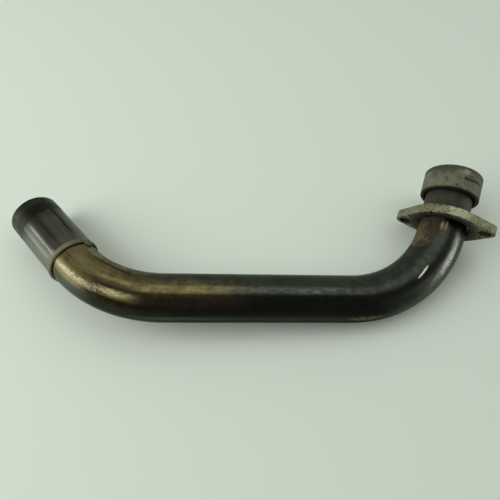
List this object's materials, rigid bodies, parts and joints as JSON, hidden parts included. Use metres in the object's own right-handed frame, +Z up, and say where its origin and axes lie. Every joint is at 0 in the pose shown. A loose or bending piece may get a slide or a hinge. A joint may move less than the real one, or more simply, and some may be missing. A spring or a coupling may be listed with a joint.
{
  "type": "motorcycle exhaust header",
  "caption": "Bent steel exhaust header for a small motorcycle: a port collar and a loose stud flange at one end, and a flared slip sleeve for the muffler at the other.",
  "frame": {"origin": "centre of the overall box, on the table that the header lies on", "axes": "+Z up from the table, +X along the straight run towards the port end as seen from above, with both ends bent round towards +Y"},
  "size_m": [0.3706, 0.1214, 0.056],
  "materials": {
    "tinted_tube": "drawn steel tube, heat-tinted straw at the muffler end and dark grey towards the port, with rust by the flange",
    "sleeve_steel": "bright drawn steel with a soot band round its open end",
    "weld_metal": "rough weld metal",
    "collar_steel": "dull turned steel, stained and gouged",
    "flange_plating": "worn pale plating on steel plate, pitted, sooty underneath"
  },
  "bodies": {
    "header": {"header_tube": "tinted_tube", "muffler_sleeve": "sleeve_steel", "sleeve_tack": "weld_metal", "port_collar": "collar_steel", "collar_weld": "weld_metal"},
    "flange": {"mounting_flange": "flange_plating"}
  },
  "joints": [
    {"name": "flange_slide", "type": "slide", "parent": "header", "child": "flange", "axis": [0.3353, 0.9206, 0.2002], "range_m": [0, 0.01569]}
  ]
}
